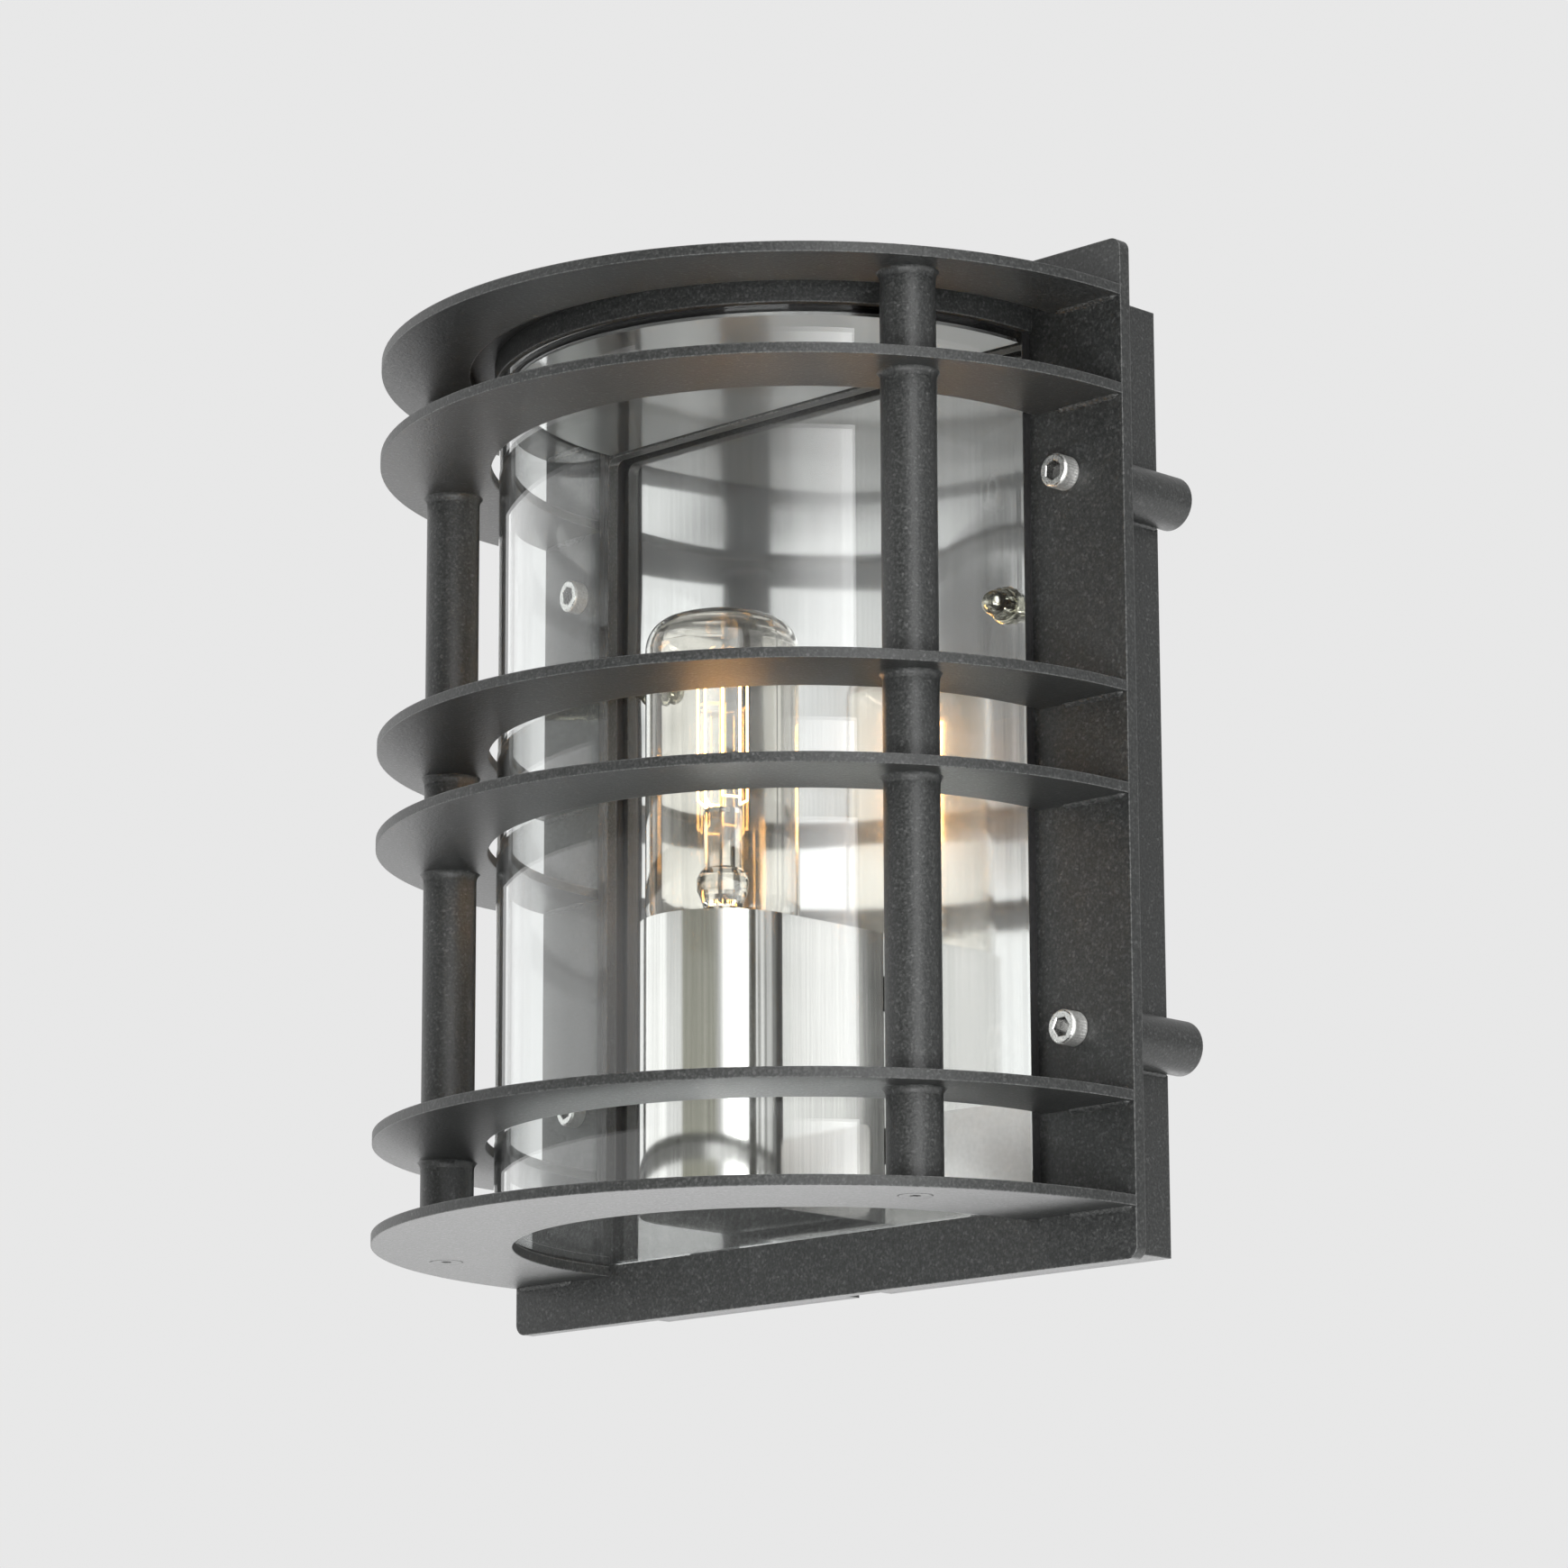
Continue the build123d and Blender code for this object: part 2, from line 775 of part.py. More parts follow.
def make_bulb_stem():
    low = shoulder_z + stem_bead_rise
    high = low + stem_bead_height
    shoulder = stem_bead_radius - stem_bead_round
    stem = turned(
        (0, neck_tail_z),
        (stem_flare, neck_tail_z),
        (stem_flare - stem_bead_round, neck_tail_z + stem_flare_height),
        (stem_radius, low - stem_neck_drop),
        (shoulder, low),
        (stem_bead_radius, low + 2 * stem_bead_round),
        (stem_bead_radius, high - 2 * stem_bead_round),
        (shoulder, high),
        (stem_radius, high + stem_bead_round),
        (stem_radius, stem_top),
        (0, stem_top),
    )
    return Pos(0, bulb_y, 0) * stem


def strand_spot(index):
    angle = radians(360 / strand_count * index)
    return Vector(strand_circle * sin(angle), bulb_y - strand_circle * cos(angle), 0)


def wire_between(start, end, radius):
    """Straight round wire from one point to another."""
    return Plane(start, z_dir=end - start) * Cylinder(
        radius, (end - start).length, align=(Align.CENTER, Align.CENTER, Align.MIN)
    )


def make_filament():
    """Upright strands on a circle, joined in turn at their tops and at their feet."""
    low, high = strand_z
    filament = None
    for index in range(strand_count):
        spot = strand_spot(index)
        pieces = wire_between(spot + Vector(0, 0, low), spot + Vector(0, 0, high), strand_radius)
        if index < strand_count - 1:
            level = Vector(0, 0, low if index % 2 else high)
            pieces += Pos(*(spot + level)) * Sphere(strand_radius)
            pieces += wire_between(spot + level, strand_spot(index + 1) + level, strand_radius)
            pieces += Pos(*(strand_spot(index + 1) + level)) * Sphere(strand_radius)
        filament = pieces if filament is None else filament + pieces
    axis = Vector(0, bulb_y, 0)
    for index in (0, strand_count - 1):
        foot = strand_spot(index) + Vector(0, 0, low)
        root = axis + (strand_spot(index) - axis) * root_share + Vector(0, 0, stem_top + fit)
        filament += wire_between(root, foot, strand_radius)
        filament += Pos(*foot) * Sphere(strand_radius)
    return filament


def make_filament_support():
    """Middle rod with a spoke towards each strand's upper end."""
    low, high = strand_z
    axis = Vector(0, bulb_y, 0)
    spoke_level = Vector(0, 0, high - spoke_drop)
    support = wire_between(axis + Vector(0, 0, stem_top), axis + Vector(0, 0, high), support_radius)
    for index in range(strand_count):
        outward = strand_spot(index) - axis
        reach = outward * ((strand_circle - strand_radius - fit / 2) / strand_circle)
        support += wire_between(axis + spoke_level, axis + reach + spoke_level, spoke_radius)
    return support


# Wiring inside the box
def make_wire_bushing():
    ring = make_flanged_ring(bushing_bore, bushing_neck, bushing_flange, bushing_lip, reflector_thickness)
    return along_y(0, reflector_front, wire_hole_z) * ring


def make_terminal_block():
    body = block((-block_half_width, block_half_width), (panel_front - block_depth, panel_front), block_z)
    front = panel_front - block_depth
    middle = sum(block_z) / 2
    for pole in (-1, 0, 1):
        x = pole * pole_pitch
        for mouth, inward in zip(block_z, (1, -1)):
            ends = sorted((mouth - inward * over, mouth + inward * (wire_tail + over)))
            body -= rod_z(x, terminal_y, *ends, wire_radius + fit)
        floor = front + terminal_screw_sink + terminal_screw_height
        body -= rod_y(x, middle, front - over, floor, terminal_screw_radius + fit)
    return body


def make_terminal_screws():
    front = panel_front - block_depth
    end = front + terminal_screw_sink + terminal_screw_height
    middle = sum(block_z) / 2
    return group([
        rod_y(pole * pole_pitch, middle, end - terminal_screw_height, end, terminal_screw_radius)
        for pole in (-1, 0, 1)
    ])


def make_lamp_wire(start_x, end_x):
    start_z = block_z[0] + wire_tail
    return tube_path([
        (start_x, terminal_y, start_z),
        (start_x, terminal_y, start_z - wire_drop),
        (end_x, terminal_y, wire_hole_z),
        (end_x, bulb_y, wire_hole_z),
        (end_x, bulb_y, holder_bottom + wire_tail),
    ])


def make_earth_wire():
    return tube_path([
        (pole_pitch, terminal_y, block_z[0] + wire_tail),
        (pole_pitch, terminal_y, earth_turn_z),
        (earth_x, terminal_y, earth_turn_z),
        (earth_x, terminal_y, lug_barrel_z[0] + wire_tail),
    ])


def make_earth_stud():
    boss_front = terminal_y + lug_thickness / 2
    stud = rod_y(earth_x, earth_z, boss_front, panel_front, earth_boss_radius)
    return stud + rod_y(earth_x, earth_z, boss_front - earth_stud_length, boss_front, earth_stud_radius)


def make_earth_lug():
    faces = (terminal_y - lug_thickness / 2, terminal_y + lug_thickness / 2)
    lug = rod_y(earth_x, earth_z, *faces, lug_radius)
    lug += block(
        (earth_x - lug_barrel_radius, earth_x + lug_barrel_radius),
        faces,
        (lug_barrel_z[1] - over, earth_z),
    )
    lug += rod_z(earth_x, terminal_y, *lug_barrel_z, lug_barrel_radius)
    lug -= rod_y(earth_x, earth_z, faces[0] - over, faces[1] + over, earth_stud_radius + fit)
    bore_top = lug_barrel_z[0] + wire_tail + over
    return lug - rod_z(earth_x, terminal_y, lug_barrel_z[0] - over, bore_top, wire_radius + fit)


def make_earth_nut():
    nut = hexagon(earth_nut_half_flats, -earth_nut_height, 0)
    nut -= Pos(0, 0, -earth_nut_height / 2) * Cylinder(earth_stud_radius + fit, earth_nut_height + 2 * over)
    return along_y(earth_x, terminal_y - lug_thickness / 2, earth_z) * nut


nodes = {
    "cage_plate": make_cage_plate(),
    "top_ring": make_ring(ring_levels[0], top_ring_opening),
    "ring_2": make_threaded_ring(ring_levels[1]),
    "ring_3": make_threaded_ring(ring_levels[2]),
    "ring_4": make_threaded_ring(ring_levels[3]),
    "ring_5": make_threaded_ring(ring_levels[4]),
    "bottom_ring": make_bottom_ring(),
    "roof_lid": make_roof_lid(),
    "post_left": make_post(-1),
    "post_right": make_post(1),
    "post_welds": make_post_welds(),
    "post_screws": make_post_screws(),
    "glass": make_glass_wall(glass_bottom, glass_top, glass_radius, glass_inner),
    "floor_pane": make_floor_pane(),
    "bottom_seal": make_glass_wall(floor_z + pane_thickness, glass_bottom - fit, glass_radius, glass_inner),
    "edge_seals": make_edge_seals(),
    "top_collar": make_top_collar(),
    "top_reflector": make_top_reflector(),
    "top_spacers": make_top_spacers(),
    "plate_gasket": make_plate_gasket(),
    "cap_screws": make_cap_screws(),
    "pillars": make_pillars(),
    "back_box": make_back_box(),
    "cable_grommet": make_cable_grommet(),
    "reflector": make_reflector(),
    "reflector_studs": make_reflector_studs(),
    "reflector_nuts": make_reflector_nuts(),
    "holder_cover": make_holder_cover(),
    "holder_bracket": make_holder_bracket(),
    "bracket_rivets": make_bracket_rivets(),
    "lampholder_body": make_lampholder_body(),
    "lampholder_shell": make_lampholder_shell(),
    "lampholder_contact": make_lampholder_contact(),
    "holder_screws": make_holder_screws(),
    "bulb_glass": make_bulb_glass(),
    "bulb_cap": make_bulb_cap(),
    "bulb_insulator": make_bulb_insulator(),
    "bulb_contact": make_bulb_contact(),
    "bulb_stem": make_bulb_stem(),
    "filament": make_filament(),
    "filament_support": make_filament_support(),
    "wire_bushing": make_wire_bushing(),
    "terminal_block": make_terminal_block(),
    "terminal_screws": make_terminal_screws(),
    "wire_live": make_lamp_wire(-pole_pitch, -wire_x),
    "wire_neutral": make_lamp_wire(0, wire_x),
    "earth_wire": make_earth_wire(),
    "earth_stud": make_earth_stud(),
    "earth_lug": make_earth_lug(),
    "earth_nut": make_earth_nut(),
}

os.makedirs("parts", exist_ok=True)
for name, shape in nodes.items():
    export_step(shape, f"parts/{name}.step")
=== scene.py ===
import bmesh
import bpy
import json
import random
from math import cos, pi, radians, sin, sqrt
from mathutils import Matrix, Vector


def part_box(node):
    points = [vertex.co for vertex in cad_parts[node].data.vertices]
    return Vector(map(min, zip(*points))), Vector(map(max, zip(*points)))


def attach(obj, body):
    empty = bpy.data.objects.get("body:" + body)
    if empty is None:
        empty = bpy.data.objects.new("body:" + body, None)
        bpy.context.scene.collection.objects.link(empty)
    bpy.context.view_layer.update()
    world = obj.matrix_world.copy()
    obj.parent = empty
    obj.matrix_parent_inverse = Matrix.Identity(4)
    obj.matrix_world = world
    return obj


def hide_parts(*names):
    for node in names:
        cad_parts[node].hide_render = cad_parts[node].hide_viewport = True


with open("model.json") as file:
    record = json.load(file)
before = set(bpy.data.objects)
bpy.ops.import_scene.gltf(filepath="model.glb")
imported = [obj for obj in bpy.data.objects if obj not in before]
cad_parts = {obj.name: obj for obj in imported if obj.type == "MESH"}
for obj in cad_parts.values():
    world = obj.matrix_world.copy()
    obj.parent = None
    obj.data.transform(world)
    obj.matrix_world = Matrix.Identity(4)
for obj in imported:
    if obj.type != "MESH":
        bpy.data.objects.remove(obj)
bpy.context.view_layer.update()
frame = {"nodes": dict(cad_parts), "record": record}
nodes = frame["nodes"]
scene = bpy.context.scene
scene.view_settings.view_transform = "Standard"

# Places and sizes on the part, in metres
PLATE_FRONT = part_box("cage_plate")[0][1]
REFLECTOR_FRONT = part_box("reflector")[0][1]
RING_NODES = ["top_ring", "ring_2", "ring_3", "ring_4", "ring_5", "bottom_ring"]
POST_RADIUS = 0.008
POST_X = sum(point[0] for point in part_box("post_right")) / 2
POST_Y = sum(point[1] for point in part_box("post_right")) / 2
SCREW_X = 0.1035
SCREW_Z = 0.081
HEAD_RADIUS = 0.005
HEAD_HEIGHT = 0.006
SOCKET_RADIUS = 0.0025           # across half flats
PILLAR_RADIUS = 0.008
NUT_X = 0.073
NUT_Z = 0.04825
BULB_Y = -0.0825
GLOW_Z = 0.014

# Photograph
PHOTO_WIDTH = 1740               # pixels
FOCAL_LENGTH = 6189.87           # pixels

PALE = 0.806                     # tone of the background


# Node building
class Nodes:
    """A node tree that is built by naming sockets."""

    def __init__(self, tree):
        self.tree = tree

    def put(self, value, socket):
        if isinstance(value, bpy.types.NodeSocket):
            self.tree.links.new(value, socket)
        else:
            socket.default_value = value

    def node(self, kind, settings=None, **sockets):
        made = self.tree.nodes.new(kind)
        for key, value in (settings or {}).items():
            setattr(made, key, value)
        for key, value in sockets.items():
            self.put(value, made.inputs[key.replace("_", " ")])
        return made

    def filled(self, made, *values):
        """The node, with its first inputs filled in order."""
        for value, socket in zip(values, made.inputs):
            self.put(value, socket)
        return made

    def axes(self, vector):
        return self.node("ShaderNodeSeparateXYZ", Vector=vector).outputs[:]

    def math(self, operation, first, second=0.0):
        made = self.node("ShaderNodeMath", {"operation": operation})
        return self.filled(made, first, second).outputs[0]

    def measure(self, operation, *vectors):
        made = self.node("ShaderNodeVectorMath", {"operation": operation})
        return self.filled(made, *vectors).outputs["Value"]

    def ramp(self, factor, *stops):
        made = self.node("ShaderNodeValToRGB", Fac=factor)
        points = made.color_ramp.elements
        for index, (place, colour) in enumerate(stops):
            point = points[index] if index < 2 else points.new(place)
            point.position = place
            point.color = (*colour, 1)
        return made.outputs["Color"]

    def spread(self, factor, low, high, start=0.0, end=1.0):
        made = self.node("ShaderNodeMapRange")
        return self.filled(made, factor, start, end, low, high).outputs["Result"]

    def mix(self, factor, first, second, blend="MIX"):
        made = self.node("ShaderNodeMix", {"data_type": "RGBA", "blend_type": blend})
        self.put(factor, made.inputs["Factor"])
        for value, socket in ((first, made.inputs["A"]), (second, made.inputs["B"])):
            self.put((*value, 1) if isinstance(value, tuple) else value, socket)
        return made.outputs["Result"]

    def mix_shaders(self, factor, first, second):
        made = self.node("ShaderNodeMixShader")
        return self.filled(made, factor, first, second).outputs[0]

    def ray_kinds(self):
        """One for rays from the eye or through glass, from a shiny surface, and from a second one.

        A ray from a shiny surface counts as one also where it then passes through glass.
        """
        path = self.node("ShaderNodeLightPath").outputs
        direct = self.math("MAXIMUM", path["Is Camera Ray"], path["Is Transmission Ray"])
        just = self.math("MULTIPLY", path["Is Glossy Ray"], path["Is Reflection Ray"])
        once = self.math("GREATER_THAN", path["Glossy Depth"], 0.5)
        twice = self.math("GREATER_THAN", path["Glossy Depth"], 1.5)
        return direct, self.math("MAXIMUM", just, once), twice


class Shade(Nodes):
    """A material with a Principled shader at its output."""

    def __init__(self, name, **sockets):
        self.mat = bpy.data.materials.new(name)
        self.mat.use_nodes = True
        super().__init__(self.mat.node_tree)
        self.bsdf = self.tree.nodes["Principled BSDF"]
        for socket, value in sockets.items():
            self.bsdf.inputs[socket.replace("_", " ")].default_value = value
        self.where = self.node("ShaderNodeTexCoord").outputs["Object"]

    def join(self, output, socket):
        self.tree.links.new(output, self.bsdf.inputs[socket])

    def noise(self, scale, detail=2.0, stretch=(1, 1, 1)):
        placed = self.node("ShaderNodeMapping", Vector=self.where, Scale=stretch).outputs[0]
        made = self.node("ShaderNodeTexNoise", Vector=placed, Scale=scale, Detail=detail)
        return made.outputs["Fac"]

    def bump(self, height, strength, distance, under=None):
        made = self.node("ShaderNodeBump", Height=height, Strength=strength, Distance=distance)
        if under is not None:
            self.tree.links.new(under, made.inputs["Normal"])
        return made.outputs["Normal"]


def grey(value):
    return (value, value, value)


# Materials
def powder_coat():
    """Charcoal powder coat: fine grain with paler specks, soft peel, and edges that are paler,
    partly as thin worn coat and partly as a painted highlight.
    """
    m = Shade("powder_coat")
    grain = m.noise(1300, 3.0)
    peel = m.noise(520, 1.0)
    cloud = m.noise(24, 3.0)
    cells = m.node("ShaderNodeTexVoronoi", Vector=m.where, Scale=1400.0)
    tone = m.ramp(
        grain,
        (0.30, (0.019, 0.020, 0.020)),
        (0.55, (0.040, 0.042, 0.041)),
        (0.74, (0.082, 0.085, 0.083)),
    )
    tone = m.mix(1.0, tone, m.ramp(cloud, (0.3, grey(0.88)), (0.7, grey(1.0))), "MULTIPLY")
    speck = m.ramp(cells.outputs["Color"], (0.78, grey(0.0)), (0.95, grey(0.05)))
    tone = m.mix(1.0, tone, speck, "ADD")
    rounded = m.node("ShaderNodeBevel", {"samples": 6}, Radius=0.0007).outputs["Normal"]
    face = m.node("ShaderNodeNewGeometry").outputs["True Normal"]
    edge = m.spread(m.measure("DOT_PRODUCT", rounded, face), 0.0, 1.0, 0.985, 0.80)
    # Painted highlight, partly wear: a noisy band along the edges is mixed towards pale grey, which
    # draws light lines on them.
    paler_mix = m.math("MULTIPLY", edge, m.spread(grain, 0.2, 1.0, 0.35, 0.62))
    m.join(m.mix(paler_mix, tone, (0.23, 0.234, 0.23)), "Base Color")
    m.join(m.spread(grain, 0.34, 0.52, 0.25, 0.75), "Roughness")
    soft = m.bump(peel, 0.2, 0.0003, rounded)
    m.join(m.bump(grain, 0.55, 0.0002, soft), "Normal")
    return m.mat


def clear_glass(name, colour, ripple):
    m = Shade(name, Base_Color=(*colour, 1), Roughness=0.0, IOR=1.48, Transmission_Weight=1.0)
    wave = m.noise(30, 1.0, (1, 1, 0.35))
    m.join(m.bump(wave, ripple, 0.0006), "Normal")
    return m.mat


def mirror_sheet():
    """Polished sheet: faint haze, upright rolling marks, slow waves, and a dimple at each nut."""
    dimple_radius, dimple_depth = 0.032, 0.0006
    m = Shade("mirror_sheet", Metallic=1.0, Coat_Weight=1.0, Coat_Roughness=0.3, Coat_IOR=2.3)
    streak = m.noise(700, 3.0, (1, 0.03, 0.01))
    wave = m.noise(8.0, 1.0, (0.7, 1, 1.6))
    m.join(m.ramp(streak, (0.3, (0.79, 0.79, 0.78)), (0.7, (0.86, 0.86, 0.85))), "Base Color")
    m.join(m.spread(streak, 0.05, 0.09), "Roughness")
    shape = m.bump(wave, 1.0, 0.0013)
    for side in (-1, 1):
        away = m.measure("DISTANCE", m.where, (side * NUT_X, REFLECTOR_FRONT, NUT_Z))
        easing = {"interpolation_type": "SMOOTHSTEP"}
        dimple = m.node("ShaderNodeMapRange", easing, Value=away, From_Max=dimple_radius)
        shape = m.bump(dimple.outputs["Result"], 1.0, dimple_depth, shape)
    m.join(m.bump(streak, 0.03, 0.0001, shape), "Normal")
    return m.mat


def polished_sheet():
    """Bright folded sheet whose sides spread a little towards the rear."""
    m = Shade("polished_sheet", Metallic=1.0)
    depth = m.axes(m.where)[1]
    streak = m.noise(1300, 3.0, (1, 1, 0.01))
    m.join(m.ramp(streak, (0.3, (0.76, 0.75, 0.73)), (0.7, (0.88, 0.87, 0.85))), "Base Color")
    m.join(m.spread(streak, 0.07, 0.14), "Roughness")
    spread = m.bump(depth, 1.0, 0.042)
    m.join(m.bump(streak, 0.04, 0.0001, spread), "Normal")
    return m.mat


def bright_steel():
    """Plain steel; darker nickel on the nuts, rough sides on the cap screws, and painted shade in
    their sockets.
    """
    side_margin, socket_margin, rim_margin = 0.0003, 0.0004, 0.0002
    m = Shade("bright_steel", Metallic=1.0)
    paler_mix = m.noise(1400, 3.0)
    x, y, z = m.axes(m.where)
    aside = m.math("ABSOLUTE", x)
    off_x = m.math("SUBTRACT", aside, SCREW_X)
    off_z = m.math("SUBTRACT", m.math("ABSOLUTE", z), SCREW_Z)
    squares = m.math("ADD", m.math("POWER", off_x, 2.0), m.math("POWER", off_z, 2.0))
    reach = m.math("SQRT", squares)
    nut = m.math("LESS_THAN", aside, (NUT_X + SCREW_X) / 2)
    side = m.math("GREATER_THAN", reach, HEAD_RADIUS - side_margin)
    inside = m.math("LESS_THAN", reach, SOCKET_RADIUS + socket_margin)
    sunk = m.math("GREATER_THAN", y, PLATE_FRONT - HEAD_HEIGHT + rim_margin)
    # Painted shade: inside each socket, below the screw's face, the steel colour is mixed most of
    # the way to near black.
    socket = m.math("MULTIPLY", inside, sunk)
    steel = m.ramp(paler_mix, (0.3, (0.66, 0.66, 0.64)), (0.7, (0.88, 0.88, 0.86)))
    nickel = m.ramp(paler_mix, (0.3, (0.42, 0.41, 0.34)), (0.7, (0.60, 0.59, 0.50)))
    steel_with_painted_shade = m.mix(m.math("MULTIPLY", socket, 0.72), steel, (0.08, 0.08, 0.08))
    m.join(m.mix(nut, steel_with_painted_shade, nickel), "Base Color")
    plain = m.spread(paler_mix, 0.2, 0.36)
    rough = m.math("ADD", plain, m.math("MULTIPLY", side, 0.3))
    m.join(m.math("SUBTRACT", rough, m.math("MULTIPLY", nut, 0.42)), "Roughness")
    m.join(m.bump(paler_mix, 0.08, 0.0001), "Normal")
    return m.mat


def mottled(m, scale, dark, light, rough_low, rough_high, strength, distance):
    """Finish a material whose tone, gloss and surface vary together."""
    mottle = m.noise(scale, 3.0)
    m.join(m.ramp(mottle, (0.3, dark), (0.7, light)), "Base Color")
    m.join(m.spread(mottle, rough_low, rough_high), "Roughness")
    m.join(m.bump(mottle, strength, distance), "Normal")
    return m.mat


def metal(name, dark, light, rough_low, rough_high):
    m = Shade(name, Metallic=1.0)
    return mottled(m, 900, dark, light, rough_low, rough_high, 0.08, 0.0001)


def matte(name, dark, light, rough_low, rough_high, scale=700):
    return mottled(Shade(name), scale, dark, light, rough_low, rough_high, 0.1, 0.0002)


def glow_wire():
    m = Shade("glow_wire", Emission_Strength=22.0, Roughness=0.5)
    heat = m.noise(300, 2.0)
    m.join(m.ramp(heat, (0.3, (1.0, 0.44, 0.10)), (0.7, (1.0, 0.58, 0.20))), "Emission Color")
    m.join(m.ramp(heat, (0.3, (0.5, 0.28, 0.1)), (0.7, (0.6, 0.4, 0.2))), "Base Color")
    return m.mat


MATERIALS = {
    "powder_coat": powder_coat(),
    "clear_glass": clear_glass("clear_glass", (0.975, 0.99, 0.985), 0.05),
    "mirror_sheet": mirror_sheet(),
    "polished_sheet": polished_sheet(),
    "bright_steel": bright_steel(),
    "seal_rubber": matte("seal_rubber", (0.012, 0.012, 0.013), (0.03, 0.03, 0.03), 0.55, 0.8),
    "porcelain": matte("porcelain", (0.74, 0.72, 0.67), (0.86, 0.85, 0.81), 0.35, 0.5, 300),
    "brass": metal("brass", (0.55, 0.40, 0.17), (0.75, 0.58, 0.28), 0.2, 0.4),
    "bulb_clear": clear_glass("bulb_clear", (1.0, 0.982, 0.94), 0.03),
    "cap_metal": metal("cap_metal", (0.58, 0.57, 0.54), (0.76, 0.75, 0.72), 0.18, 0.3),
    "black_glass": matte("black_glass", (0.008, 0.008, 0.008), (0.02, 0.02, 0.02), 0.1, 0.2),
    "glow_wire": glow_wire(),
    "support_wire": metal("support_wire", (0.4, 0.39, 0.37), (0.6, 0.58, 0.55), 0.25, 0.4),
    "wire_brown": matte("wire_brown", (0.16, 0.07, 0.03), (0.24, 0.11, 0.05), 0.4, 0.55),
    "wire_blue": matte("wire_blue", (0.03, 0.09, 0.3), (0.06, 0.15, 0.42), 0.4, 0.55),
    "wire_green": matte("wire_green", (0.14, 0.32, 0.06), (0.5, 0.55, 0.08), 0.4, 0.55, 60),
    "terminal_plastic": matte(
        "terminal_plastic", (0.78, 0.78, 0.77), (0.86, 0.86, 0.855), 0.35, 0.5
    ),
}
SLOT_OF = {part["node"]: part["material_slot"] for part in frame["record"]["subparts"]}


def finish_material(obj, slot):
    obj.data.materials.clear()
    obj.data.materials.append(MATERIALS[slot])


for name, obj in nodes.items():
    finish_material(obj, SLOT_OF[name])
for name in ("glass", "floor_pane", "bulb_glass", "bulb_stem"):
    nodes[name].visible_shadow = False


# Mesh building
def smooth(obj):
    """Shade smooth, with sharp edges kept."""
    sharp = radians(35)
    mesh = obj.data
    form = bmesh.new()
    form.from_mesh(mesh)
    for face in form.faces:
        face.smooth = True
    for edge in form.edges:
        if len(edge.link_faces) == 2:
            edge.smooth = edge.calc_face_angle(0.0) < sharp
    form.to_mesh(mesh)
    form.free()


def new_piece(name, form, slot, body, *stands_for):
    mesh = bpy.data.meshes.new(name)
    form.normal_update()
    form.to_mesh(mesh)
    form.free()
    piece = bpy.data.objects.new(name, mesh)
    scene.collection.objects.link(piece)
    finish_material(piece, slot)
    smooth(piece)
    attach(piece, body)
    if stands_for:
        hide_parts(*stands_for)


def add_turned(form, profile, place, steps, radius_at, closed=False):
    """Solid of revolution from (radius, height) points; radius_at may change a point's radius."""
    rings = []
    for radius, height in profile:
        if radius < 1e-7:
            rings.append([form.verts.new(place @ Vector((0, 0, height)))])
            continue
        ring = []
        for step in range(steps):
            angle = 2 * pi * step / steps
            reach = radius_at(radius, height, step)
            spot = Vector((reach * cos(angle), reach * sin(angle), height))
            ring.append(form.verts.new(place @ spot))
        rings.append(ring)
    pairs = list(zip(rings, rings[1:]))
    if closed:
        pairs.append((rings[-1], rings[0]))
    made = []
    for low, high in pairs:
        for step in range(steps):
            after = (step + 1) % steps
            if len(low) == 1:
                corners = (low[0], high[after], high[step])
            elif len(high) == 1:
                corners = (low[step], low[after], high[0])
            else:
                corners = (low[step], low[after], high[after], high[step])
            made.append(form.faces.new(corners))
    bmesh.ops.recalc_face_normals(form, faces=made)


def facing_front(x, y, z, turn):
    """Frame whose +Z points to the front, -Y, at the given place."""
    turned = Matrix.Rotation(radians(90), 4, "X") @ Matrix.Rotation(turn, 4, "Z")
    return Matrix.Translation((x, y, z)) @ turned


def off_flat(step, steps):
    """Angle from the middle of a hexagon's nearest side."""
    return (step % (steps // 6)) / steps * 2 * pi - pi / 6


